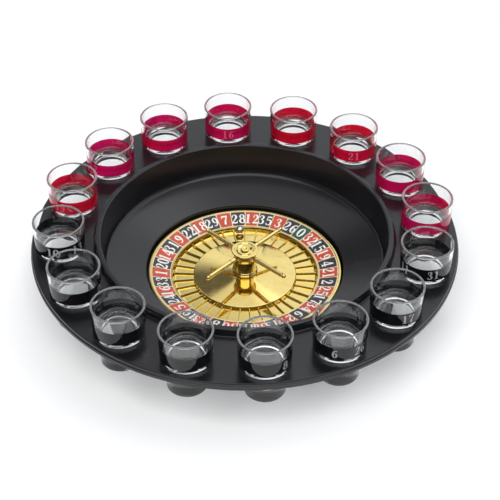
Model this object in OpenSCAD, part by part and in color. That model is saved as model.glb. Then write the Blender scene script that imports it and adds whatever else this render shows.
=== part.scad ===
// Drinking-game roulette wheel: a round tray with a sunken bowl, a spinning rotor with
// thirty-seven pockets and a four-armed turret, a ball, and sixteen glasses in the rim.
// Millimetres, +Z up, origin on the table under the middle of the wheel.

/* [Tray] */
// Outer diameter of the tray
tray_d = 290; // [286:1:296]
// Height of the rim's flat top above the table
rim_top = 45; // [45:0.5:48]
// Wall thickness of the tray moulding
wall = 2.4; // [2.2:0.1:2.6]
// Height of the skirt round the tray's edge
skirt_h = 4.8; // [4.4:0.1:6]
// Radius of the outer foot of the raised collar
collar_foot_r = 102.4; // [102:0.1:103]
// Height of the collar above the rim's flat top
collar_h = 5; // [4:0.5:6]
// Radius of the collar's inner edge
collar_r = 97.5; // [97:0.1:98]
// Radius of the bowl wall where it curves into the ball track
bowl_wall_r = 96.6; // [96.2:0.1:97]
// Radius of the well that the rotor turns in
well_r = 68.3; // [68:0.1:69]
// Depth of the ball track's inner edge below the rim's top
track_depth = 27; // [26:0.5:28]
// Slope of the ball track, in degrees
track_slope = 15.6; // [14:0.2:17]
// Thickness of the stiffening ribs under the rim, one between each pair of glasses
rib_thickness = 2; // [1.6:0.2:3]
// Number of rubber feet
foot_count = 6; // [4:1:8]

/* [Glasses] */
// Number of glasses round the rim
glass_count = 16; // [16:1:16]
// Radius of the circle that the glasses stand on
glass_ring_r = 124.7; // [124:0.1:125.4]
// Angle of the first glass, anticlockwise from +X
glass_phase = 95.9; // [0:0.1:360]
// Radius of a glass at its lip
glass_lip_r = 17.5; // [17.2:0.1:17.6]
// Radius of a glass just above its shoulder
glass_body_r = 16.8; // [16.4:0.1:17]
// Height of a glass above the rim
glass_h = 22.6; // [20:0.1:26]
// Radius of the foot that hangs in the hole
glass_foot_r = 13.3; // [13:0.1:13.4]
// Depth of the foot below the rim's top
glass_foot_h = 23.5; // [20:0.5:26]
// Height above the rim of the ledge where the cup narrows into the foot
glass_ledge_h = 6.4; // [5:0.1:8]
// Thickness of the solid glass at the bottom of the foot
glass_base_t = 9.5; // [6:0.5:12]
// Gap between the glass foot and its hole
glass_hole_gap = 0.6; // [0.4:0.1:0.7]

/* [Rotor] */
// Outer radius of the rotor
rotor_r = 67; // [66.8:0.1:67.2]
// Depth of the rotor's outer lip below the rim's top
rotor_depth = 30; // [29.8:0.1:30.2]
// Number of pockets
pocket_count = 37; // [37:1:37]
// Outer radius of the printed number ring
number_outer_r = 65; // [64.8:0.1:65.2]
// Inner radius of the printed number ring
number_inner_r = 51.4; // [51.2:0.1:51.6]
// Fall of the number ring from its outer to its inner edge
number_fall = 3.1; // [3:0.1:3.2]
// Depth of the pocket floor below the rim's top
floor_depth = 36.8; // [36.6:0.1:37]
// Height of a fret between two pockets
fret_h = 1.4; // [1.2:0.1:1.6]
// Width of a fret at its foot
fret_w = 1.1; // [0.9:0.1:1.2]
// Radius of the cone that covers the rotor's middle
cone_r = 35.7; // [35.4:0.1:36]
// Diameter of the ball
ball_d = 6.2; // [6:0.1:6.4]

/* [Turret] */
// Reach of the arms from the axis to their tips
arm_reach = 37.6; // [34:0.2:40]
// Angle of the first arm, anticlockwise from +X
arm_phase = 46.6; // [0:0.1:90]
// Depth of the arms' axes below the rim's top
arm_depth = 16.2; // [16:0.1:16.4]
// Radius of the turret's top flange
cap_r = 9.3; // [9:0.1:9.6]
// Radius of the spindle
spindle_r = 3; // [2.8:0.1:3.2]
// Radial clearance of the bushing on the spindle
spindle_fit = 0.05; // [0.03:0.01:0.08]

/* [Hidden] */
GLASSES = [for (i = [1:glass_count]) str("glass_", i < 10 ? "0" : "", i)];
ARMS = [for (i = [1:4]) str("turret_arm_", i)];
$fn = 96;

// Colours
black_plastic = [0.06, 0.06, 0.065];
gold = [0.83, 0.68, 0.3];
steel = [0.75, 0.75, 0.77];
brass = [0.72, 0.58, 0.3];
clear_glass = [0.85, 0.9, 0.92, 0.4];
rubber = [0.1, 0.1, 0.1];
nylon = [0.9, 0.9, 0.86];
number_red = [0.72, 0.22, 0.14];

// Distance that flat faces of two moving bodies keep between them
face_gap = 0.05;

// Tray
tray_r = tray_d / 2;
edge_step = 0.6;
bead_h = skirt_h - 2.5;
edge_round = 0.8;
collar_round = 1.2;
collar_lean = 0.7;
lip_round = 1;
bowl_round = 4;
track_top = rim_top - track_depth;
track_z = function (r) track_top + (r - well_r) * tan(track_slope);
bowl_round_x = bowl_wall_r - bowl_round;
bowl_round_z = track_z(bowl_round_x) + bowl_round / cos(track_slope);
foot_ring_z = 2;
well_floor_bottom = foot_ring_z + 0.2;
well_floor_top = well_floor_bottom + wall;
foot_ring_in = bowl_wall_r - 1.6;
foot_ring_out = 104;
foot_pad_r = 4;
hole_r = glass_foot_r + glass_hole_gap;
rib_reach = tray_r - 6;

// Spindle stack, from the tray's floor upwards
tail_bore_r = 1.8;
screw_r = 1.5;
screw_bore_r = 1.55;
screw_tip = well_floor_top + 8;
washer_r = 5;
washer_t = 0.5;
head_r = 3.8;
head_h = 1.3;
flange_r = 8;
thrust_r = 7.5;
flange_top = well_floor_top + 1.5;
thrust_t = 0.8;
thrust_top = flange_top + thrust_t;
bush_bottom = thrust_top + face_gap;
bush_r = 4.5;
bush_flange_r = 6.5;
bush_flange_top = bush_bottom + 1;
bush_top = 24;
clip_bottom = bush_top + 0.1;
clip_h = 0.8;
clip_r = 4.4;
clip_slot = 2.4;
spindle_top = 26.6;
groove_r = spindle_r - 0.6;

// Rotor
floor_z = rim_top - floor_depth;
web = 1.8;
lip_z = rim_top - rotor_depth;
rotor_rim_h = 4;
ring_top = lip_z - 0.3;
ring_t = 0.25;
ring_gap = 0.05;
number_slope = atan(number_fall / (number_outer_r - number_inner_r));
band_z = function (r) ring_top - (number_outer_r - r) * tan(number_slope);
pocket_wall_r = number_inner_r - 0.9;
pocket_wall_top = band_z(number_inner_r);
pocket_out_r = number_inner_r - 2.2;
pocket_tilt = atan((pocket_wall_r - pocket_out_r) / (pocket_wall_top - floor_z));
fret_out_r = pocket_out_r + 1;
pocket_pitch = 360 / pocket_count;
// One fret stands at this angle, so the pocket beside it is centred half a pitch away
fret_phase = 90;

// Cone and turret
cone_lip_z = rim_top - 34.2;
cone_t = 1.6;
cone_seat_r = 9;
cone_top_z = rim_top - 31.8;
cone_round = 0.6;
skirt_r = cone_r - 0.4;
skirt_t = 1.4;
fret_in_r = skirt_r + 0.1;
arm_z = rim_top - arm_depth;
arm_pin_r = 1.1;
arm_pin_in = 4.6;
column_base_r = 8.8;
column_neck_r = 6.4;
column_top = rim_top - 14.3;
column_bore_r = 5.2;
column_bore_top = spindle_top + 0.6;
finial_r = 2.9;
finial_pin_r = 1.2;
finial_pin_h = 2.5;
finial_seat = column_top + 1.3;

// Ball
ball_r = ball_d / 2;
ball_gap = 0.15;
ball_ring_r = pocket_out_r - (ball_r + ball_gap) * (1 - sin(pocket_tilt)) / cos(pocket_tilt);
ball_angle = fret_phase + pocket_pitch / 2;

// Glass
glass_bottom = rim_top - glass_foot_h;
glass_top = rim_top + glass_h;
glass_seat = rim_top + face_gap;
glass_lip_t = 1.6;
cup_r = glass_body_r - 1.3;
cup_turn = 2.6;
ledge_z = rim_top + glass_ledge_h;
throat_r = 11.4;
throat_taper = 0.2;
throat_floor = glass_bottom + glass_base_t;

// Points of an arc round centre c from angle a to angle b, both included
function arc(c, r, a, b, n = 5) = [
    for (i = [0:n]) c + r * [cos(a + (b - a) * i / n), sin(a + (b - a) * i / n)]
];

// A ring with a rectangular section
module ring(r_in, r_out, z, h) {
    translate([0, 0, z])
        difference() {
            cylinder(r = r_out, h = h);
            translate([0, 0, -1])
                cylinder(r = r_in, h = h + 2);
        }
}

// Places its children at each glass position
module at_glass(i) {
    rotate([0, 0, glass_phase - i * 360 / glass_count])
        translate([glass_ring_r, 0, 0])
            children();
}

// Section of the tray, from the skirt's foot over the rim and down to the middle, then back underneath
module tray_section() {
    edge_r = tray_r - edge_step;
    polygon(concat(
        [[tray_r, rim_top - skirt_h], [tray_r, rim_top - skirt_h + bead_h - 0.4]],
        [[edge_r, rim_top - skirt_h + bead_h]],
        arc([edge_r - edge_round, rim_top - edge_round], edge_round, 0, 90),
        arc([collar_foot_r + edge_round, rim_top + edge_round], edge_round, 270, 180),
        arc([collar_foot_r - collar_lean - collar_round, rim_top + collar_h - collar_round],
            collar_round, 0, 90),
        arc([collar_r + lip_round, rim_top + collar_h - lip_round], lip_round, 90, 180),
        arc([bowl_round_x, bowl_round_z], bowl_round, 0, track_slope - 90, 8),
        arc([well_r + edge_step, track_z(well_r) - edge_step], edge_step, 90 + track_slope, 180, 3),
        [[well_r, well_floor_top], [tail_bore_r, well_floor_top]],
        [[tail_bore_r, well_floor_bottom], [well_r + wall, well_floor_bottom]],
        [[well_r + wall, track_z(well_r + wall) - wall]],
        [[foot_ring_in + 1, track_z(foot_ring_in + 1) - wall]],
        [[foot_ring_in + 1, foot_ring_z + wall], [foot_ring_in, foot_ring_z + wall]],
        [[foot_ring_in, foot_ring_z], [foot_ring_out, foot_ring_z]],
        [[foot_ring_out, foot_ring_z + wall], [bowl_wall_r + wall, foot_ring_z + wall]],
        [[collar_r + wall, rim_top - wall], [edge_r - wall, rim_top - wall]],
        [[edge_r - wall, rim_top - skirt_h]]
    ));
}

// One upright rib from the bowl's outside to the rim's underside
module rim_rib() {
    root_r = collar_r + 1;
    root_depth = 18;
    tip_depth = wall + 1.5;
    overlap = 1;
    rotate([90, 0, 0])
        translate([0, 0, -rib_thickness / 2])
            linear_extrude(rib_thickness)
                polygon([
                    [root_r, rim_top - overlap],
                    [rib_reach, rim_top - overlap],
                    [rib_reach, rim_top - tip_depth],
                    [root_r, rim_top - root_depth]
                ]);
}

module tray() {
    color(black_plastic)
        difference() {
            union() {
                rotate_extrude()
                    tray_section();
                for (i = [0:glass_count - 1])
                    rotate([0, 0, glass_phase + (i + 0.5) * 360 / glass_count])
                        rim_rib();
            }
            for (i = [0:glass_count - 1])
                at_glass(i)
                    translate([0, 0, rim_top - wall - 1])
                        cylinder(r = hole_r, h = wall + 2);
        }
}

module rubber_feet() {
    color(rubber)
        for (i = [0:foot_count - 1])
            rotate([0, 0, (i + 0.5) * 360 / foot_count])
                translate([(foot_ring_in + foot_ring_out) / 2, 0, 0])
                    cylinder(r = foot_pad_r, h = foot_ring_z);
}

module spindle() {
    chamfer = 0.5;
    color(steel)
        rotate_extrude()
            polygon([
                [0, screw_tip],
                [screw_bore_r, screw_tip],
                [screw_bore_r, well_floor_top],
                [flange_r, well_floor_top],
                [flange_r, flange_top],
                [spindle_r, flange_top],
                [spindle_r, clip_bottom],
                [groove_r, clip_bottom],
                [groove_r, clip_bottom + clip_h],
                [spindle_r, clip_bottom + clip_h],
                [spindle_r, spindle_top - chamfer],
                [spindle_r - chamfer, spindle_top],
                [0, spindle_top]
            ]);
}

module spindle_washer() {
    color(steel)
        ring(tail_bore_r, washer_r, well_floor_bottom - washer_t, washer_t);
}

module spindle_screw() {
    head_top = well_floor_bottom - washer_t;
    tip_gap = 0.5;
    slot_l = 4;
    slot_w = 0.8;
    slot_depth = 0.8;
    color(steel)
        difference() {
            union() {
                translate([0, 0, head_top - head_h])
                    cylinder(r = head_r, h = head_h);
                translate([0, 0, head_top - head_h])
                    cylinder(r = screw_r, h = screw_tip - tip_gap - head_top + head_h);
            }
            for (a = [0, 90])
                rotate([0, 0, a])
                    translate([-slot_l / 2, -slot_w / 2, head_top - head_h - 1])
                        cube([slot_l, slot_w, slot_depth + 1]);
        }
}

module thrust_washer() {
    color(nylon)
        ring(spindle_r + 0.1, thrust_r, flange_top, thrust_t);
}

module rotor_bushing() {
    color(brass)
        union() {
            ring(spindle_r + spindle_fit, bush_flange_r, bush_bottom, bush_flange_top - bush_bottom);
            ring(spindle_r + spindle_fit, bush_r, bush_bottom, bush_top - bush_bottom);
        }
}

module retaining_clip() {
    color(steel)
        difference() {
            ring(groove_r, clip_r, clip_bottom, clip_h);
            translate([0, -clip_slot / 2, clip_bottom - 1])
                cube([clip_r + 1, clip_slot, clip_h + 2]);
        }
}

// Section of the rotor: outer lip, number band, pocket wall, pocket floor, hub, then back underneath
module rotor_section() {
    band_out = number_outer_r + ring_gap;
    band_in = number_inner_r - ring_gap;
    hub_top = cone_top_z - cone_t;
    lip_slope = 0.1;
    hub_r = cone_seat_r + 2;
    hub_under_r = cone_seat_r + 1.5;
    web_in_r = cone_seat_r + 3;
    web_out_r = pocket_wall_r + 0.4;
    band_under_r = number_inner_r + 1;
    polygon(concat(
        [[rotor_r, lip_z - rotor_rim_h]],
        arc([rotor_r - cone_round, lip_z - cone_round], cone_round, 0, 90, 4),
        [[band_out + lip_slope, lip_z], [band_out, band_z(band_out) - ring_t]],
        [[band_in, band_z(band_in) - ring_t]],
        [[band_in, pocket_wall_top], [pocket_wall_r, pocket_wall_top], [pocket_out_r, floor_z]],
        [[hub_r, floor_z], [cone_seat_r, hub_top], [bush_r, hub_top]],
        [[bush_r, bush_flange_top], [hub_under_r, bush_flange_top], [web_in_r, floor_z - web]],
        [[web_out_r, floor_z - web], [band_under_r, pocket_wall_top - web]],
        [[rotor_r - web, ring_top - ring_t - web], [rotor_r - web, lip_z - rotor_rim_h]]
    ));
}

// One fret, a low ridge with sloping sides
module fret() {
    side_slope = 0.2;
    sink = 0.5;
    rotate([90, 0, 90])
        translate([0, 0, fret_in_r])
            linear_extrude(fret_out_r - fret_in_r)
                polygon([
                    [-fret_w / 2, floor_z - sink],
                    [fret_w / 2, floor_z - sink],
                    [fret_w / 2 - side_slope, floor_z + fret_h],
                    [side_slope - fret_w / 2, floor_z + fret_h]
                ]);
}

module rotor() {
    color(gold)
        union() {
            rotate_extrude()
                rotor_section();
            for (i = [0:pocket_count - 1])
                rotate([0, 0, fret_phase + i * pocket_pitch])
                    fret();
        }
}

module number_ring() {
    color(number_red)
        rotate_extrude()
            polygon([
                [number_outer_r, band_z(number_outer_r) - ring_t],
                [number_outer_r, band_z(number_outer_r)],
                [number_inner_r, band_z(number_inner_r)],
                [number_inner_r, band_z(number_inner_r) - ring_t]
            ]);
}

module rotor_cone() {
    lip_under = cone_lip_z - 0.8;
    skirt_top = lip_under - 0.3;
    color(gold)
        rotate_extrude()
            polygon(concat(
                [[skirt_r - skirt_t, floor_z], [skirt_r, floor_z], [skirt_r, skirt_top]],
                [[cone_r, lip_under]],
                arc([cone_r - cone_round, cone_lip_z - cone_round], cone_round, 0, 90, 4),
                [[cone_seat_r, cone_top_z], [column_bore_r, cone_top_z]],
                [[column_bore_r, cone_top_z - cone_t], [cone_seat_r, cone_top_z - cone_t]],
                [[skirt_r - skirt_t, cone_lip_z - cone_t]]
            ));
}

// Column with a double bead at its foot, a slightly tapered drum and a narrower neck for the arms,
// hollow over the spindle
module column_section() {
    foot_bead = 0.9;
    low_bead = 0.6;
    foot_z = cone_top_z + foot_bead + 0.2;
    low_bead_z = cone_top_z + 2.7;
    drum_z = cone_top_z + 3.4;
    drum_top = cone_top_z + 12.4;
    drum_r = column_base_r - 0.7;
    taper = 0.4;
    shoulder = 0.8;
    polygon(concat(
        [[column_bore_r, cone_top_z]],
        arc([column_base_r - foot_bead, foot_z], foot_bead, -60, 90),
        arc([drum_r - taper / 2, low_bead_z], low_bead, -70, 70),
        [[drum_r, drum_z]],
        arc([drum_r - taper - shoulder, drum_top - shoulder], shoulder, 0, 90),
        [[column_neck_r, drum_top + 0.3], [column_neck_r, column_top], [finial_pin_r, column_top]],
        [[finial_pin_r, column_top - finial_pin_h], [0, column_top - finial_pin_h]],
        [[0, column_bore_top], [column_bore_r, column_bore_top]]
    ));
}

module turret_column() {
    color(gold)
        difference() {
            rotate_extrude()
                column_section();
            for (i = [0:3])
                rotate([0, 0, arm_phase + 90 * i])
                    translate([arm_pin_in, 0, arm_z])
                        rotate([0, 90, 0])
                            cylinder(r = arm_pin_r, h = 10);
        }
}

// Flange with a rounded edge, a groove, and a low bead round the finial
module turret_cap() {
    cap_h = 1.3;
    edge = 0.5;
    groove_floor = column_top + cap_h - 0.4;
    groove_out = cap_r - 2;
    bead = 0.8;
    bead_centre = cap_r - 4.2;
    color(gold)
        rotate_extrude()
            polygon(concat(
                [[finial_pin_r, column_top], [cap_r - 0.9, column_top]],
                arc([cap_r - edge, column_top + cap_h - edge], edge, -45, 90),
                [[groove_out, column_top + cap_h], [groove_out - 0.4, groove_floor]],
                [[bead_centre + bead + 0.3, groove_floor]],
                arc([bead_centre, groove_floor], bead, 30, 110, 4),
                [[finial_r + 0.5, column_top + cap_h], [finial_pin_r, column_top + cap_h]]
            ));
}

module finial_screw() {
    edge = 0.5;
    rise = 0.4;
    dimple_r = 1.4;
    dimple_in_r = 0.9;
    dimple_floor = finial_seat + 0.6;
    color(gold)
        rotate_extrude()
            polygon(concat(
                [[0, column_top - finial_pin_h], [finial_pin_r, column_top - finial_pin_h]],
                [[finial_pin_r, finial_seat], [finial_r, finial_seat]],
                arc([finial_r - edge, finial_seat + rise], edge, 0, 90, 4),
                [[dimple_r, finial_seat + rise + edge], [dimple_in_r, dimple_floor], [0, dimple_floor]]
            ));
}

// A turned rod: pin, collar near the root, taper, second collar and a round knob
module turret_arm(i) {
    root_r = 1.65;
    tip_r = 1.4;
    neck_r = 1.1;
    knob_r = 1.6;
    knob_x = arm_reach - knob_r;
    collar_x = 13.5;
    collar_half = 0.4;
    collar_out_r = root_r + 0.3;
    slope = 0.3;
    collar_low = collar_x - collar_half;
    collar_high = collar_x + collar_half;
    tip_low = knob_x - 2.5;
    tip_high = knob_x - 1.7;
    color(gold)
        rotate([0, 0, arm_phase + 90 * i])
            translate([0, 0, arm_z])
                rotate([0, 90, 0])
                    rotate_extrude()
                        polygon(concat(
                            [[0, arm_pin_in], [arm_pin_r, arm_pin_in], [arm_pin_r, column_neck_r]],
                            [[root_r, column_neck_r], [root_r, collar_low - slope]],
                            [[collar_out_r, collar_low], [collar_out_r, collar_high]],
                            [[root_r, collar_high + slope], [tip_r, tip_low - slope]],
                            [[root_r, tip_low], [root_r, tip_high], [neck_r, tip_high + slope]],
                            arc([0, knob_x], knob_r, -45, 90, 8)
                        ));
}

module ball() {
    color(steel)
        rotate([0, 0, ball_angle])
            translate([ball_ring_r, 0, floor_z + ball_r + ball_gap])
                sphere(r = ball_r);
}

// Section of a glass: heavy foot, shoulder that rests on the rim, thin upper wall, and inside
// it a ledge where the cup narrows to the foot
module glass_section() {
    foot_round = 1.6;
    shoulder_round = 0.8;
    throat_round = 0.8;
    floor_round = 1.5;
    lip_round = glass_lip_t / 2;
    throat_low_r = throat_r - throat_taper;
    polygon(concat(
        [[0, glass_bottom]],
        arc([glass_foot_r - foot_round, glass_bottom + foot_round], foot_round, -90, 0),
        [[glass_foot_r, glass_seat]],
        arc([glass_body_r - shoulder_round, glass_seat + shoulder_round], shoulder_round, -90, 0),
        arc([glass_lip_r - lip_round, glass_top - lip_round], lip_round, 0, 180, 8),
        [[cup_r, ledge_z + cup_turn + 1]],
        arc([cup_r - cup_turn, ledge_z + cup_turn], cup_turn, 0, -90),
        arc([throat_r + throat_round, ledge_z - throat_round], throat_round, 90, 180),
        arc([throat_low_r - floor_round, throat_floor + floor_round], floor_round, 0, -90),
        [[0, throat_floor]]
    ));
}

module glass(i) {
    color(clear_glass)
        at_glass(i)
            rotate_extrude()
                glass_section();
}

tray();
rubber_feet();
spindle();
spindle_washer();
spindle_screw();
thrust_washer();
rotor_bushing();
retaining_clip();
rotor();
number_ring();
rotor_cone();
turret_column();
turret_cap();
finial_screw();
ball();
for (i = [0:3]) turret_arm(i);
for (i = [0:glass_count - 1]) glass(i);
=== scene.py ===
"""Looks of the drinking-game roulette wheel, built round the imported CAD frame. Lengths in metres."""
import math

import bmesh
import bpy
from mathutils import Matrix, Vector
from mathutils.geometry import delaunay_2d_cdt


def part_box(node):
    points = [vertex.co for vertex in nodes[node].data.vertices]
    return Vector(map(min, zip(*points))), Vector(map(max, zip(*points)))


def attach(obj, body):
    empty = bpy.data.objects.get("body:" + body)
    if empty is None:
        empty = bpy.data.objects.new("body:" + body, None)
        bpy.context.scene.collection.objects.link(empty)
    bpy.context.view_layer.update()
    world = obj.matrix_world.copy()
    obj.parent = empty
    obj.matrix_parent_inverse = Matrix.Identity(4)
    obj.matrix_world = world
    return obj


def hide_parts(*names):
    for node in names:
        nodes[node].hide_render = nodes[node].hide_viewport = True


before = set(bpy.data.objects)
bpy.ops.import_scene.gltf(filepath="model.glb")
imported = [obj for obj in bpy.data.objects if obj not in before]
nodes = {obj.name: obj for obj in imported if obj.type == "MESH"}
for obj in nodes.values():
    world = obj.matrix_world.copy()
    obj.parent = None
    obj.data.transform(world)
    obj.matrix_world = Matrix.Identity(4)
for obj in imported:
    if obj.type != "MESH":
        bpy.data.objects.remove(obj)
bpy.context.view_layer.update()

MM = 0.001


# ---------------------------------------------------------------- sizes read from the frame

def radius_of(node):
    """Half the width of a node that is round about the Z axis of its own box."""
    low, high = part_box(node)
    return (high.x - low.x) / 2


COLLAR_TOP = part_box("tray")[1].z
COLLAR_H = 5 * MM
RIM_TOP = COLLAR_TOP - COLLAR_H
ROTOR_R = radius_of("rotor")
LIP_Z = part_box("rotor")[1].z
BAND_R = radius_of("number_ring")
BAND_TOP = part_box("number_ring")[1].z
BAND_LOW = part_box("number_ring")[0].z + 0.25 * MM
BAND_IN = 51.4 * MM
CONE_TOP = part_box("rotor_cone")[1].z
FLOOR_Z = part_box("rotor_cone")[0].z
POCKETS = 37
PITCH = 2 * math.pi / POCKETS
FRET_PHASE = math.pi / 2
GLASSES = sorted(n for n in nodes if n.startswith("glass_"))
ARMS = sorted(n for n in nodes if n.startswith("turret_arm_"))


# ---------------------------------------------------------------- camera, floor and light

def make_camera():
    elevation = math.radians(39.43)
    distance = 994.1 * MM
    shift_x = -3.55 * MM
    shift_y = 10.42 * MM
    right = Vector((1, 0, 0))
    up = Vector((0, math.sin(elevation), math.cos(elevation)))
    back = Vector((0, -math.cos(elevation), math.sin(elevation)))
    data = bpy.data.cameras.new("camera")
    data.sensor_width = 36
    data.lens = 105.06
    camera = bpy.data.objects.new("camera", data)
    camera.location = Vector((0, 0, RIM_TOP)) - shift_x * right - shift_y * up + distance * back
    camera.rotation_euler = (math.pi / 2 - elevation, 0, 0)
    bpy.context.scene.collection.objects.link(camera)
    bpy.context.scene.camera = camera


def area_light(name, place, width, height, power):
    """A rectangular lamp that looks at the middle of the wheel's foot."""
    data = bpy.data.lights.new(name, "AREA")
    data.shape = "RECTANGLE"
    data.size = width
    data.size_y = height
    data.energy = power
    light = bpy.data.objects.new(name, data)
    light.location = place
    light.rotation_euler = (-Vector(place)).to_track_quat("-Z", "Y").to_euler()
    bpy.context.scene.collection.objects.link(light)
    return light


def make_light():
    """A plain studio: a bright sweep behind the table, a dark ceiling, a softbox, a fill, a panel.

    The sweep's upper edge slants down to the right, so that flat tops fall from light on the right
    and at the back to dark on the left and in front. The fill only lights matt surfaces and the
    panel only shows in reflections.
    """
    world = bpy.data.worlds.new("studio")
    bpy.context.scene.world = world
    world.use_nodes = True
    tree = world.node_tree
    background = tree.nodes["Background"]
    place = tree.nodes.new("ShaderNodeTexCoord")
    height = tree.nodes.new("ShaderNodeVectorMath")
    height.operation = "DOT_PRODUCT"
    height.inputs[1].default_value = (-0.6, 0.35, 1)
    tree.links.new(place.outputs["Generated"], height.inputs[0])
    ramp = tree.nodes.new("ShaderNodeValToRGB")
    ramp.color_ramp.interpolation = "EASE"
    sweep, ceiling = ramp.color_ramp.elements
    sweep.position = 0.9
    sweep.color = (0.93, 0.95, 1.0, 1)
    ceiling.position = 1.0
    ceiling.color = (0.12, 0.12, 0.13, 1)
    tree.links.new(height.outputs["Value"], ramp.inputs["Fac"])
    tree.links.new(ramp.outputs["Color"], background.inputs["Color"])
    apart = tree.nodes.new("ShaderNodeSeparateXYZ")
    tree.links.new(place.outputs["Generated"], apart.inputs["Vector"])
    depth = tree.nodes.new("ShaderNodeMapRange")
    depth.interpolation_type = "SMOOTHSTEP"
    depth.inputs["From Min"].default_value = -0.5
    depth.inputs["From Max"].default_value = 0.1
    depth.inputs["To Min"].default_value = 0.15
    depth.inputs["To Max"].default_value = 1.1
    tree.links.new(apart.outputs["Y"], depth.inputs["Value"])
    tree.links.new(depth.outputs["Result"], background.inputs["Strength"])
    area_light("top_softbox", (0.0, 0.5, 1.25), 1.2, 0.9, 2.6)
    fill = area_light("fill_softbox", (-0.3, -1.3, 1.7), 1.8, 1.8, 42)
    fill.visible_glossy = False
    fill.visible_transmission = False
    shine = area_light("shine_panel", (0.0, -0.5, 1.5), 1.6, 1.3, 10)
    shine.visible_diffuse = False
    shine.visible_transmission = False
    view = bpy.context.scene.view_settings
    view.view_transform = "Standard"
    view.look = "None"
    cycles = bpy.context.scene.cycles
    cycles.max_bounces = 16
    cycles.transmission_bounces = 14
    cycles.transparent_max_bounces = 16
    cycles.sample_clamp_indirect = 6
    cycles.use_denoising = True


def make_floor():
    bpy.ops.mesh.primitive_plane_add(size=12, location=(0, 0, 0))
    floor = bpy.context.object
    floor.name = "floor"
    material, _, shader = node_material("floor_paint")
    shader.inputs["Base Color"].default_value = (0.93, 0.93, 0.93, 1)
    shader.inputs["Roughness"].default_value = 0.7
    shader.inputs["Specular IOR Level"].default_value = 0.2
    shader.inputs["Emission Color"].default_value = (1, 1, 1, 1)
    shader.inputs["Emission Strength"].default_value = 0.1
    floor.data.materials.append(material)


# ---------------------------------------------------------------- materials

def node_material(name):
    material = bpy.data.materials.new(name)
    material.use_nodes = True
    tree = material.node_tree
    shader = tree.nodes["Principled BSDF"]
    return material, tree, shader


def noise(tree, scale):
    """Noise on the object's own coordinates, scale in features per metre."""
    place = tree.nodes.new("ShaderNodeTexCoord")
    texture = tree.nodes.new("ShaderNodeTexNoise")
    texture.inputs["Scale"].default_value = scale
    texture.inputs["Detail"].default_value = 3.0
    tree.links.new(place.outputs["Object"], texture.inputs["Vector"])
    return texture.outputs["Fac"]


def span(tree, factor, low, high):
    """Maps a noise factor, whose middle range is 0.3 to 0.7, to a number from low to high."""
    node = tree.nodes.new("ShaderNodeMapRange")
    node.inputs["From Min"].default_value = 0.3
    node.inputs["From Max"].default_value = 0.7
    node.inputs["To Min"].default_value = low
    node.inputs["To Max"].default_value = high
    tree.links.new(factor, node.inputs["Value"])
    return node.outputs["Result"]


def blend_colours(tree, factor, low, high):
    node = tree.nodes.new("ShaderNodeMix")
    node.data_type = "RGBA"
    node.inputs["A"].default_value = (*low, 1)
    node.inputs["B"].default_value = (*high, 1)
    tree.links.new(factor, node.inputs["Factor"])
    return node.outputs["Result"]


def bump(tree, shader, height, strength, distance):
    node = tree.nodes.new("ShaderNodeBump")
    node.inputs["Strength"].default_value = strength
    node.inputs["Distance"].default_value = distance
    tree.links.new(height, node.inputs["Height"])
    tree.links.new(node.outputs["Normal"], shader.inputs["Normal"])


def surface(name, low, high, roughness, grain, metallic=0.0, bumpiness=0.05, depth=0.02 * MM):
    """A finish whose colour and roughness vary gently, with a fine grain."""
    material, tree, shader = node_material(name)
    shader.inputs["Metallic"].default_value = metallic
    broad = noise(tree, grain / 12)
    tree.links.new(blend_colours(tree, span(tree, broad, 0, 1), low, high), shader.inputs["Base Color"])
    tree.links.new(span(tree, broad, *roughness), shader.inputs["Roughness"])
    bump(tree, shader, noise(tree, grain), bumpiness, depth)
    return material


def ink(name, low, high, see_through):
    """Printing ink under the glass skin: no gloss of its own, and more or less see-through."""
    material, tree, shader = node_material(name)
    broad = noise(tree, 25)
    tree.links.new(blend_colours(tree, span(tree, broad, 0, 1), low, high), shader.inputs["Base Color"])
    shader.inputs["Roughness"].default_value = 0.0 if see_through else 0.9
    shader.inputs["IOR"].default_value = 1.0
    shader.inputs["Specular IOR Level"].default_value = 0.0
    shader.inputs["Transmission Weight"].default_value = see_through
    return material


def clear_glass():
    """Clear glass whose lip is partly matt white, a painted highlight that reads as a light ring along the
    lip. Rays from lamps pass it, for a light shadow.
    """
    material, tree, shader = node_material("clear_glass")
    shader.inputs["Base Color"].default_value = (0.985, 0.995, 0.992, 1)
    shader.inputs["Roughness"].default_value = 0.0
    shader.inputs["IOR"].default_value = 1.5
    place = tree.nodes.new("ShaderNodeTexCoord")
    height = tree.nodes.new("ShaderNodeSeparateXYZ")
    # Painted highlight: towards the lip the glass lets less light through and shows its white base colour,
    # which the lamps light up as a ring in place of the lip's real highlight.
    painted_lip_highlight = tree.nodes.new("ShaderNodeMapRange")
    painted_lip_highlight.inputs["From Min"].default_value = RIM_TOP + GLASS_TOP - LIP_HIGHLIGHT_DEPTH
    painted_lip_highlight.inputs["From Max"].default_value = RIM_TOP + GLASS_TOP - LIP_HIGHLIGHT_FULL
    painted_lip_highlight.inputs["To Min"].default_value = 1.0
    painted_lip_highlight.inputs["To Max"].default_value = LIP_CLEARNESS
    tree.links.new(place.outputs["Object"], height.inputs[0])
    tree.links.new(height.outputs["Z"], painted_lip_highlight.inputs["Value"])
    tree.links.new(painted_lip_highlight.outputs["Result"], shader.inputs["Transmission Weight"])
    let_through = tree.nodes.new("ShaderNodeBsdfTransparent")
    let_through.inputs["Color"].default_value = (0.9, 0.92, 0.92, 1)
    rays = tree.nodes.new("ShaderNodeLightPath")
    mix = tree.nodes.new("ShaderNodeMixShader")
    tree.links.new(rays.outputs["Is Shadow Ray"], mix.inputs["Fac"])
    tree.links.new(shader.outputs["BSDF"], mix.inputs[1])
    tree.links.new(let_through.outputs["BSDF"], mix.inputs[2])
    tree.links.new(mix.outputs["Shader"], tree.nodes["Material Output"].inputs["Surface"])
    return material


# ---------------------------------------------------------------- mesh helpers

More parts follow.
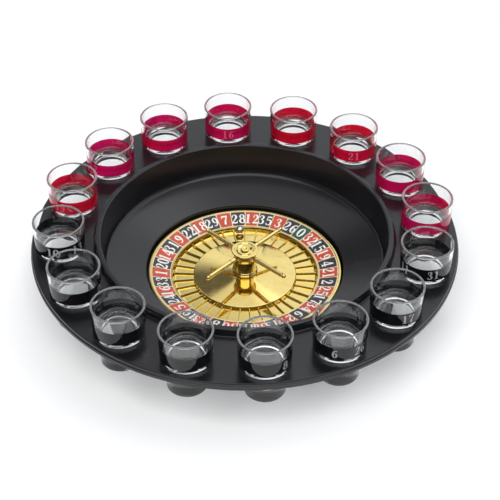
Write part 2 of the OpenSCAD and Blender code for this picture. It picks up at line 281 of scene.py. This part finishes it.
def add_object(name, verts, faces, material, body):
    """A smooth-shaded piece of the object, riding on a body."""
    mesh = bpy.data.meshes.new(name)
    mesh.from_pydata([tuple(v) for v in verts], [], [tuple(f) for f in faces])
    mesh.update()
    mesh.materials.append(material)
    mesh.polygons.foreach_set("use_smooth", [True] * len(mesh.polygons))
    piece = bpy.data.objects.new(name, mesh)
    bpy.context.scene.collection.objects.link(piece)
    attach(piece, body)
    return piece


def mark_creases(mesh, degrees):
    """Edges that turn by more than this many degrees are shaded sharp."""
    bm = bmesh.new()
    bm.from_mesh(mesh)
    limit = math.radians(degrees)
    for edge in bm.edges:
        edge.smooth = len(edge.link_faces) == 2 and edge.calc_face_angle(0) < limit
    bm.to_mesh(mesh)
    bm.free()


def arc(x, z, r, start, end, steps=8):
    """Points of an arc round (x, z), angles in degrees."""
    turns = [math.radians(start + (end - start) * i / steps) for i in range(steps + 1)]
    return [(x + r * math.cos(t), z + r * math.sin(t)) for t in turns]


def supported(points, gap=0.25 * MM, closed=True):
    """Adds a point near each end of every long straight stretch, so that rounding stays local."""
    made = []
    count = len(points)
    for i in range(count if closed else count - 1):
        a = Vector(points[i])
        b = Vector(points[(i + 1) % count])
        made.append(tuple(a))
        if (b - a).length > 4 * gap:
            step = (b - a).normalized() * gap
            made.append(tuple(a + step))
            made.append(tuple(b - step))
    if not closed:
        made.append(points[-1])
    return made


def lathe_mesh(section, steps, centre=(0, 0, 0), closed=True):
    """Vertices and faces of a section (radius, height) turned round Z; points on the axis are shared."""
    verts, rings = [], []
    for r, z in section:
        if r < 1e-7:
            rings.append([len(verts)] * steps)
            verts.append((centre[0], centre[1], centre[2] + z))
            continue
        rings.append(list(range(len(verts), len(verts) + steps)))
        for i in range(steps):
            turn = 2 * math.pi * i / steps
            verts.append((centre[0] + r * math.cos(turn), centre[1] + r * math.sin(turn), centre[2] + z))
    faces = []
    count = len(section)
    for k in range(count if closed else count - 1):
        a, b = rings[k], rings[(k + 1) % count]
        for i in range(steps):
            j = (i + 1) % steps
            corners = [a[i], a[j], b[j], b[i]]
            face = [c for n, c in enumerate(corners) if c != corners[n - 1]]
            if len(set(face)) > 2:
                faces.append(face)
    return verts, faces


def lathe(name, section, material, body, steps):
    """A solid of revolution. The section runs anticlockwise in (radius, height)."""
    verts, faces = lathe_mesh(supported(section), steps)
    piece = add_object(name, verts, faces, material, body)
    fix_normals(piece.data)
    mark_creases(piece.data, 40)
    return piece


def fix_normals(mesh):
    bm = bmesh.new()
    bm.from_mesh(mesh)
    bmesh.ops.recalc_face_normals(bm, faces=bm.faces)
    bm.to_mesh(mesh)
    bm.free()


def glass_place(node):
    low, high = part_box(node)
    return (low + high) / 2


# ---------------------------------------------------------------- numerals

# Each numeral is drawn in a box one unit high with its foot on the line, as strokes of (x, y, width).
NUMERAL_W = 0.62
NUMERAL_GAP = 0.06


def ellipse_stroke(x, y, a, b, thin, thick, steps=28):
    """A closed stroke that swells at the sides, like the bowls of a serif numeral."""
    points = []
    for i in range(steps + 1):
        t = 2 * math.pi * i / steps
        width = thin + (thick - thin) * abs(math.cos(t)) ** 1.4
        points.append((x + a * math.cos(t), y + b * math.sin(t), width))
    return points


def ball_end(x, y, r):
    return [(x - r * 0.5, y, r * 1.7), (x + r * 0.5, y, r * 1.7)]


def curve(points, steps=5):
    """A smooth stroke through the points."""
    made = []
    last = len(points) - 1
    for i in range(last):
        p = [Vector(points[max(0, min(last, i + k))]) for k in (-1, 0, 1, 2)]
        for j in range(steps):
            t = j / steps
            made.append(tuple(0.5 * (2 * p[1] + (p[2] - p[0]) * t
                                     + (2 * p[0] - 5 * p[1] + 4 * p[2] - p[3]) * t * t
                                     + (3 * p[1] - p[0] - 3 * p[2] + p[3]) * t ** 3)))
    made.append(points[-1])
    return made


def six_strokes():
    spine = [(0.52, 0.90, 0.05), (0.35, 0.88, 0.09), (0.2, 0.7, 0.15), (0.145, 0.42, 0.19)]
    spine += [(0.18, 0.17, 0.16)]
    bowl = [(0.31, 0.045, 0.08), (0.44, 0.13, 0.13), (0.485, 0.30, 0.18), (0.44, 0.48, 0.14)]
    bowl += [(0.31, 0.57, 0.07), (0.2, 0.5, 0.06)]
    return [curve(spine + bowl), ball_end(0.5, 0.86, 0.07)]


def turned(strokes):
    """The strokes turned half a turn about the middle of the numeral's box."""
    return [[(NUMERAL_W - x, 1 - y, w) for x, y, w in stroke] for stroke in strokes]


def numeral_strokes():
    """The strokes of the ten numerals."""
    three_top = [(0.12, 0.80, 0.06), (0.18, 0.92, 0.06), (0.30, 0.96, 0.08), (0.42, 0.88, 0.15)]
    three_top += [(0.44, 0.75, 0.17), (0.37, 0.61, 0.11), (0.24, 0.54, 0.06)]
    three_low = [(0.24, 0.54, 0.06), (0.41, 0.48, 0.12), (0.49, 0.30, 0.19), (0.43, 0.12, 0.13)]
    three_low += [(0.27, 0.04, 0.07), (0.14, 0.08, 0.07)]
    two = [(0.12, 0.74, 0.07), (0.16, 0.88, 0.07), (0.29, 0.955, 0.08), (0.43, 0.88, 0.15)]
    two += [(0.47, 0.72, 0.19), (0.41, 0.54, 0.15), (0.26, 0.33, 0.10), (0.11, 0.12, 0.08)]
    five = [(0.11, 0.51, 0.06), (0.22, 0.59, 0.09), (0.36, 0.58, 0.13), (0.49, 0.46, 0.18)]
    five += [(0.50, 0.28, 0.19), (0.42, 0.10, 0.13), (0.26, 0.035, 0.07), (0.13, 0.08, 0.07)]
    return {
        "0": [ellipse_stroke(0.31, 0.5, 0.215, 0.46, 0.07, 0.2)],
        "1": [[(0.31, 0.02, 0.19), (0.31, 0.99, 0.19)], [(0.34, 0.95, 0.1), (0.13, 0.84, 0.05)],
              [(0.09, 0.03, 0.06), (0.53, 0.03, 0.06)]],
        "2": [curve(two), ball_end(0.14, 0.74, 0.09), [(0.05, 0.085, 0.14), (0.53, 0.085, 0.17)],
              [(0.53, 0.07, 0.07), (0.57, 0.28, 0.05)]],
        "3": [curve(three_top), ball_end(0.14, 0.79, 0.08),
              curve(three_low), ball_end(0.13, 0.17, 0.09)],
        "4": [[(0.40, 0.97, 0.07), (0.05, 0.30, 0.07)], [(0.03, 0.27, 0.12), (0.60, 0.27, 0.12)],
              [(0.42, 0.02, 0.18), (0.42, 0.99, 0.18)], [(0.25, 0.03, 0.06), (0.59, 0.03, 0.06)]],
        "5": [[(0.13, 0.91, 0.15), (0.52, 0.91, 0.15)], [(0.16, 0.97, 0.07), (0.11, 0.5, 0.07)],
              curve(five), ball_end(0.12, 0.15, 0.09)],
        "6": six_strokes(),
        "7": [[(0.06, 0.91, 0.17), (0.57, 0.91, 0.17)], [(0.08, 0.98, 0.06), (0.055, 0.7, 0.05)],
              curve([(0.54, 0.88, 0.08), (0.41, 0.6, 0.12), (0.32, 0.32, 0.17), (0.29, 0.03, 0.2)])],
        "8": [ellipse_stroke(0.31, 0.745, 0.16, 0.215, 0.07, 0.15),
              ellipse_stroke(0.31, 0.275, 0.2, 0.24, 0.07, 0.18)],
        "9": turned(six_strokes()),
    }


def stroke_quads(stroke):
    """The ribbon of one stroke, as corner points of quads."""
    sides = []
    for i, (x, y, w) in enumerate(stroke):
        a = Vector(stroke[max(0, i - 1)][:2])
        b = Vector(stroke[min(len(stroke) - 1, i + 1)][:2])
        along = (b - a).normalized()
        across = Vector((-along.y, along.x)) * w / 2
        sides.append((Vector((x, y)) + across, Vector((x, y)) - across))
    return [[sides[i][1], sides[i + 1][1], sides[i + 1][0], sides[i][0]] for i in range(len(sides) - 1)]


def numeral_mesh(strokes, step=0.1):
    """One flat mesh of the strokes' union, with points close enough together to wrap on a curve."""
    verts, faces = [], []
    for stroke in strokes:
        for quad in stroke_quads(stroke):
            if (quad[0] - quad[2]).length < 1e-4:
                continue
            faces.append(list(range(len(verts), len(verts) + 4)))
            verts += quad
    across = int(NUMERAL_W / step) + 1
    up = int(1 / step) + 1
    verts += [Vector((i * step + 0.003, j * step + 0.007)) for i in range(across) for j in range(up)]
    points, _, triangles, _, _, sources = delaunay_2d_cdt(verts, [], faces, 0, 1e-5)
    kept = [list(t) for t, s in zip(triangles, sources) if s]
    used = sorted({i for t in kept for i in t})
    index = {old: new for new, old in enumerate(used)}
    return [points[i] for i in used], [[index[i] for i in t] for t in kept]


def make_number(text, height, place):
    """Vertices and faces of a whole number, centred, sent to its surface by place(u, v)."""
    width = len(text) * NUMERAL_W + (len(text) - 1) * NUMERAL_GAP
    verts, faces = [], []
    for k, digit in enumerate(text):
        left = k * (NUMERAL_W + NUMERAL_GAP) - width / 2
        points, triangles = NUMERALS[digit]
        faces += [[i + len(verts) for i in t] for t in triangles]
        verts += [place((p.x + left) * height, (p.y - 0.5) * height) for p in points]
    return verts, faces


# ---------------------------------------------------------------- number ring

WHEEL_ORDER = [0, 32, 15, 19, 4, 21, 2, 25, 17, 34, 6, 27, 13, 36, 11, 30, 8, 23, 10,
               5, 24, 16, 33, 1, 20, 14, 31, 9, 22, 18, 29, 7, 28, 12, 35, 3, 26]
RED_NUMBERS = {1, 3, 5, 7, 9, 12, 14, 16, 18, 19, 21, 23, 25, 27, 30, 32, 34, 36}


def band_z(r):
    return BAND_TOP - (BAND_R - r) * (BAND_TOP - BAND_LOW) / (BAND_R - BAND_IN)


def cell_angle(place_in_order):
    """Angle of a number's cell. The first cell clockwise of the fret phase is the one of number 12."""
    steps = place_in_order - WHEEL_ORDER.index(12)
    return FRET_PHASE - (steps + 0.5) * PITCH


def polar_patch(r_in, r_out, margin, angle, lift, across=8, along=6, corner=0.245 * MM):
    """A patch of the ring with parallel margins to its neighbours and rounded corners."""
    verts, faces = [], []
    for i in range(along + 1):
        r = r_in + (r_out - r_in) * i / along
        inset = corner if i in (0, along) else 0
        half = PITCH / 2 - (margin + inset) / r
        for j in range(across + 1):
            t = angle + half * (2 * j / across - 1)
            verts.append((r * math.cos(t), r * math.sin(t), band_z(r) + lift))
    for i in range(along):
        for j in range(across):
            a = i * (across + 1) + j
            faces.append([a, a + across + 1, a + across + 2, a + 1])
    return verts, faces


def gather(parts):
    verts, faces = [], []
    for more_verts, more_faces in parts:
        faces += [[i + len(verts) for i in f] for f in more_faces]
        verts += more_verts
    return verts, faces


def make_number_ring(mats):
    thick = 0.25 * MM
    cell_in = BAND_IN + 0.7 * MM
    cell_out = BAND_R - 0.8 * MM
    cell_margin = 0.3 * MM
    cell_lift = 0.02 * MM
    numeral_lift = 0.035 * MM
    numeral_h = 8.2 * MM
    middle = 58.1 * MM
    section = [(BAND_IN, band_z(BAND_IN)), (BAND_IN, band_z(BAND_IN) - thick),
               (BAND_R, band_z(BAND_R) - thick), (BAND_R, band_z(BAND_R))]
    base = lathe("number_ring_base", section, mats["cream_print"], "rotor", POCKETS * 8)
    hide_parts("number_ring")
    cells = {"red": [], "black": [], "green": []}
    digits = []
    for k, number in enumerate(WHEEL_ORDER):
        angle = cell_angle(k)
        kind = "green" if number == 0 else "red" if number in RED_NUMBERS else "black"
        cells[kind].append(polar_patch(cell_in, cell_out, cell_margin, angle, cell_lift))

        def place(u, v, angle=angle):
            r = math.hypot(middle + v, u)
            t = angle - math.atan2(u, middle + v)
            return (r * math.cos(t), r * math.sin(t), band_z(r) + numeral_lift)

        digits.append(make_number(str(number), numeral_h, place))
    for kind, parts in cells.items():
        verts, faces = gather(parts)
        add_object("number_cells_" + kind, verts, faces, mats["cell_" + kind], "rotor")
    verts, faces = gather(digits)
    add_object("ring_numerals", verts, faces, mats["white_print"], "rotor")


# ---------------------------------------------------------------- rotor

def rotor_section():
    """Section of the rotor's upper side, from the outer lip's outside to the hub, as (radius, height)."""
    lip = 0.6 * MM
    thick = 0.25 * MM
    seat_out = BAND_R + 0.05 * MM
    seat_in = BAND_IN - 0.05 * MM
    wall_top = band_z(BAND_IN)
    wall_r = 50.5 * MM
    out_r = 49.2 * MM
    floor_turn = 0.5 * MM
    points = [(ROTOR_R, LIP_Z - 4 * MM), (ROTOR_R, LIP_Z - 2 * MM)]
    points += arc(ROTOR_R - lip, LIP_Z - lip, lip, 0, 90, 8)
    points += [(ROTOR_R - 1.2 * MM, LIP_Z)]
    points += arc(seat_out + 0.3 * MM, LIP_Z - 0.3 * MM, 0.3 * MM, 90, 180, 4)
    points += [(seat_out, band_z(seat_out) - thick), (seat_in, band_z(seat_in) - thick)]
    points += arc(seat_in - 0.2 * MM, wall_top - 0.2 * MM, 0.2 * MM, 0, 90, 3)
    points += arc(wall_r + 0.25 * MM, wall_top - 0.25 * MM, 0.25 * MM, 90, 159, 4)
    for k in range(1, 9):
        t = k / 9
        z = wall_top - 0.34 * MM + (FLOOR_Z + 0.45 * MM - wall_top + 0.34 * MM) * t
        r = wall_r + (out_r - wall_r) * (wall_top - z) / (wall_top - FLOOR_Z)
        points.append((r, z))
    points += arc(out_r - 0.35 * MM, FLOOR_Z + floor_turn, floor_turn, -21, -90, 5)
    for r in (47.5, 45, 42, 39, 37, 36.2, 35.4):
        points.append((r * MM, FLOOR_Z))
    return points


def fret_height(s):
    """Height of a fret's rounded cross-section at the distance s from its middle line."""
    flat = 0.22 * MM
    half = 0.55 * MM
    if abs(s) >= half:
        return 0.0
    t = max(0.0, (abs(s) - flat) / (half - flat))
    return 1.4 * MM * math.sqrt(max(0.0, 1 - t ** 2.6))


def rotor_underside():
    """The rest of the rotor's section: the hub that the bushing fills, then the underside."""
    hub_top = CONE_TOP - 1.6 * MM
    hub_low = 8.4 * MM
    web = 1.8 * MM
    bore = 4.55 * MM
    points = [(20 * MM, FLOOR_Z), (11 * MM, FLOOR_Z), (9 * MM, hub_top), (bore, hub_top), (bore, hub_low)]
    points += [(10.5 * MM, 7.6 * MM), (12 * MM, FLOOR_Z - web), (50.9 * MM, FLOOR_Z - web)]
    points += [(52.4 * MM, band_z(BAND_IN) - web), (ROTOR_R - web, band_z(BAND_R) - 0.25 * MM - web)]
    points += [(ROTOR_R - web, LIP_Z - 4 * MM)]
    return points


def make_rotor(material):
    """The rotor: its section turned round the axis, with the pocket floor raised to a fret every pitch."""
    whole = rotor_section() + rotor_underside()
    half = [0.15, 0.3, 0.4, 0.47, 0.52, 0.545, 0.56, 0.66]
    near = [-s for s in reversed(half)] + [0.0] + half
    far = 7
    columns = len(near) + far
    verts = []
    for r, z in whole:
        in_pocket = 35.3 * MM < r < 50.6 * MM and z > FLOOR_Z - 0.1 * MM
        for k in range(POCKETS):
            fret = FRET_PHASE + k * PITCH
            for s in near:
                t = fret + s * MM / r
                height = max(z, FLOOR_Z + fret_height(s * MM)) if in_pocket else z
                verts.append((r * math.cos(t), r * math.sin(t), height))
            first = near[-1] * MM / r
            last = PITCH + near[0] * MM / r
            for j in range(1, far + 1):
                t = fret + first + (last - first) * j / (far + 1)
                verts.append((r * math.cos(t), r * math.sin(t), z))
    count = POCKETS * columns
    faces = []
    for row in range(len(whole)):
        a = row * count
        b = ((row + 1) % len(whole)) * count
        for i in range(count):
            j = (i + 1) % count
            faces.append([a + i, a + j, b + j, b + i])
    rotor = add_object("rotor_casting", verts, faces, material, "rotor")
    fix_normals(rotor.data)
    mark_creases(rotor.data, 38)
    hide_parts("rotor")


# ---------------------------------------------------------------- glasses and their prints

GLASS_BODY_R = 16.8 * MM
GLASS_LIP_R = radius_of(GLASSES[0])
GLASS_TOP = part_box(GLASSES[0])[1].z - RIM_TOP
GLASS_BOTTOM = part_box(GLASSES[0])[0].z - RIM_TOP
GLASS_LIP = 0.8 * MM
# The painted lip highlight: it starts this far below the glass top, is full this far below it, and there
# the glass lets through this share of light.
LIP_HIGHLIGHT_DEPTH = 0.9 * MM
LIP_HIGHLIGHT_FULL = 0.2 * MM
LIP_CLEARNESS = 0.82
GLASS_BASE = 9.5 * MM
GLASS_STEPS = 112
CUP_LEDGE = 6.4 * MM
THROAT_R = 11.4 * MM
PRINT_LOW = 3.0 * MM
PRINT_HIGH = 12.8 * MM

# For each glass, clockwise from the one at the far side: the band's colour, and its numbers with
# the angle, in degrees to the right, between each number and the side that faces the camera.
GLASS_PRINTS = [
    ("magenta", ((16, 0), (34, 130))),
    ("red", ((30, 150), (7, -140))),
    ("red", ((21, 4), (5, -60), (27, -125))),
    ("magenta", ((9, 150), (23, -140))),
    ("magenta", ((1, 120), (32, 180), (18, -120))),
    ("black", ((31, 20), (11, -51))),
    ("black", ((17, 29), (2, 100))),
    ("black", ((6, -9), (26, 49))),
    ("black", ((8, 47), (22, 118))),
    ("black", ((4, 80), (24, 148))),
    ("black", ((15, 120), (28, 180), (33, -120))),
    ("black", ((20, 68), (29, 135))),
    ("black", ((10, -20), (13, 40), (35, 110))),
    ("red", ((19, -36), (14, -105))),
    ("magenta", ((12, -50), (3, -120))),
    ("magenta_red", ((25, 140), (36, -150))),
]


def glass_outside(height):
    """Outer radius of a glass at a height above the rim's top."""
    low = 0.85 * MM
    high = GLASS_TOP - GLASS_LIP
    t = min(1.0, max(0.0, (height - low) / (high - low)))
    return GLASS_BODY_R + (GLASS_LIP_R - GLASS_BODY_R) * t


def glass_section():
    """Section of a glass, as (radius, height above the rim's top): foot, shoulder, lip, cup and throat."""
    seat = 0.05 * MM
    cup_start = 1 * MM
    foot = 13.3 * MM
    turn = 1.6 * MM
    shoulder = 0.8 * MM
    cup = GLASS_BODY_R - 1.3 * MM
    cup_turn = 2.6 * MM
    edge = 0.8 * MM
    floor_turn = 1.5 * MM
    throat_low = THROAT_R - 0.2 * MM
    throat_floor = GLASS_BOTTOM + GLASS_BASE
    points = [(0, GLASS_BOTTOM)]
    points += arc(foot - turn, GLASS_BOTTOM + turn, turn, -90, 0, 8)
    points += [(foot, seat)]
    points += arc(GLASS_BODY_R - shoulder, seat + shoulder, shoulder, -90, 0, 8)
    points += arc(GLASS_LIP_R - GLASS_LIP, GLASS_TOP - GLASS_LIP, GLASS_LIP, 0, 180, 14)
    points += [(cup, CUP_LEDGE + cup_turn + cup_start)]
    points += arc(cup - cup_turn, CUP_LEDGE + cup_turn, cup_turn, 0, -90, 12)
    points += arc(THROAT_R + edge, CUP_LEDGE - edge, edge, 90, 180, 8)
    points += arc(throat_low - floor_turn, throat_floor + floor_turn, floor_turn, 0, -90, 8)
    points += [(0, throat_floor)]
    return points


def make_glass(node, material):
    centre = glass_place(node)
    section = [(r, RIM_TOP + h) for r, h in glass_section()]
    place = (centre.x, centre.y, 0)
    verts, faces = lathe_mesh(supported(section, 0.15 * MM, False), GLASS_STEPS, place, closed=False)
    glass = add_object("tumbler_" + node[6:], verts, faces, material, node)
    fix_normals(glass.data)
    mark_creases(glass.data, 60)
    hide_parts(node)


def make_print(node, kind, numbers, mats):
    """The printed band and its numerals, just under the skin of the glass."""
    band_out = 0.03 * MM
    band_in = 0.06 * MM
    numeral_in = 0.006 * MM
    numeral_h = 6.7 * MM
    centre = glass_place(node)
    camera = bpy.context.scene.camera.location
    facing = math.atan2(camera.y - centre.y, camera.x - centre.x)
    levels = 8
    heights = [PRINT_LOW + (PRINT_HIGH - PRINT_LOW) * k / levels for k in range(levels + 1)]
    section = [(glass_outside(h) - band_out, RIM_TOP + h) for h in heights]
    section += [(glass_outside(h) - band_in, RIM_TOP + h) for h in reversed(heights)]
    verts, faces = lathe_mesh(section, GLASS_STEPS, (centre.x, centre.y, 0))
    band = add_object("print_" + node[6:], verts, faces, mats["print_" + kind], node)
    fix_normals(band.data)
    mark_creases(band.data, 50)
    middle = (PRINT_LOW + PRINT_HIGH) / 2
    facet = math.cos(math.pi / GLASS_STEPS)
    parts = []
    for number, turn in numbers:

        def place(u, v, turn=turn):
            r = glass_outside(middle + v) * facet - numeral_in
            t = facing + math.radians(turn) + u / r
            return (centre.x + r * math.cos(t), centre.y + r * math.sin(t), RIM_TOP + middle + v)

        parts.append(make_number(str(number), numeral_h, place))
    verts, faces = gather(parts)
    ink_name = "number_print" if kind == "black" else "number_print_red"
    add_object("numerals_" + node[6:], verts, faces, mats[ink_name], node)


# ---------------------------------------------------------------- assembly

# Name, darkest and lightest colour, range of roughness, grain size in features per metre, and any more
# settings of surface()
FINISHES = [
    ("black_plastic", (0.006, 0.0062, 0.0078), (0.0085, 0.0087, 0.0108), (0.2, 0.25), 6000,
     {"bumpiness": 0.02, "depth": 0.005 * MM}),
    ("gold", (0.84, 0.65, 0.22), (0.9, 0.71, 0.27), (0.06, 0.1), 2400,
     {"metallic": 1.0, "bumpiness": 0.02, "depth": 0.004 * MM}),
    ("steel", (0.6, 0.6, 0.62), (0.7, 0.7, 0.72), (0.2, 0.3), 2500, {"metallic": 1.0}),
    ("ball_steel", (0.78, 0.78, 0.8), (0.86, 0.86, 0.88), (0.03, 0.07), 1500,
     {"metallic": 1.0, "bumpiness": 0.02}),
    ("brass", (0.66, 0.46, 0.2), (0.76, 0.56, 0.26), (0.25, 0.38), 2500, {"metallic": 1.0}),
    ("nylon", (0.74, 0.73, 0.68), (0.82, 0.81, 0.77), (0.4, 0.5), 2500, {}),
    ("rubber", (0.02, 0.02, 0.02), (0.035, 0.035, 0.035), (0.75, 0.9), 3500, {"bumpiness": 0.3}),
    ("cream_print", (0.72, 0.6, 0.36), (0.82, 0.7, 0.46), (0.3, 0.4), 2500, {}),
    ("cell_red", (0.5, 0.05, 0.02), (0.62, 0.09, 0.035), (0.3, 0.42), 2500, {}),
    ("cell_black", (0.022, 0.022, 0.024), (0.04, 0.04, 0.042), (0.3, 0.42), 2500, {}),
    ("cell_green", (0.02, 0.07, 0.045), (0.035, 0.1, 0.06), (0.3, 0.42), 2500, {}),
    ("white_print", (0.82, 0.81, 0.78), (0.9, 0.89, 0.87), (0.3, 0.4), 3000, {}),
]

# Name, two colours, and how much of the light goes through
INKS = [
    ("print_black", (0.006, 0.006, 0.007), (0.009, 0.009, 0.010), 0.0),
    ("print_red", (0.8, 0.01, 0.03), (0.78, 0.008, 0.07), 0.5),
    ("print_magenta", (0.72, 0.008, 0.16), (0.76, 0.009, 0.09), 0.5),
    ("print_magenta_red", (0.72, 0.008, 0.16), (0.8, 0.01, 0.03), 0.5),
    ("number_print", (0.42, 0.41, 0.4), (0.5, 0.49, 0.48), 0.0),
    ("number_print_red", (0.72, 0.13, 0.24), (0.76, 0.17, 0.28), 0.0),
]


def make_materials():
    """Every material, by name."""
    mats = {"clear_glass": clear_glass()}
    for name, low, high, roughness, grain, more in FINISHES:
        mats[name] = surface(name, low, high, roughness, grain, **more)
    for name, low, high, see_through in INKS:
        mats[name] = ink(name, low, high, see_through)
    return mats


NODE_MATERIALS = {
    "tray": "black_plastic", "rubber_feet": "rubber", "spindle": "steel", "spindle_washer": "steel",
    "spindle_screw": "steel", "thrust_washer": "nylon", "rotor_bushing": "brass", "retaining_clip": "steel",
    "rotor": "gold", "number_ring": "cream_print", "rotor_cone": "gold", "turret_column": "gold",
    "turret_cap": "gold", "finial_screw": "gold", "ball": "ball_steel",
}


def paint_node(node, material):
    for place in nodes[node].material_slots:
        place.material = material


make_camera()
make_light()
make_floor()
mats = make_materials()
NUMERALS = {digit: numeral_mesh(strokes) for digit, strokes in numeral_strokes().items()}
for node in nodes:
    kind = "clear_glass" if node in GLASSES else "gold" if node in ARMS else NODE_MATERIALS[node]
    paint_node(node, mats[kind])
make_number_ring(mats)
make_rotor(mats["gold"])
for node, (kind, numbers) in zip(GLASSES, GLASS_PRINTS):
    make_glass(node, mats["clear_glass"])
    make_print(node, kind, numbers, mats)
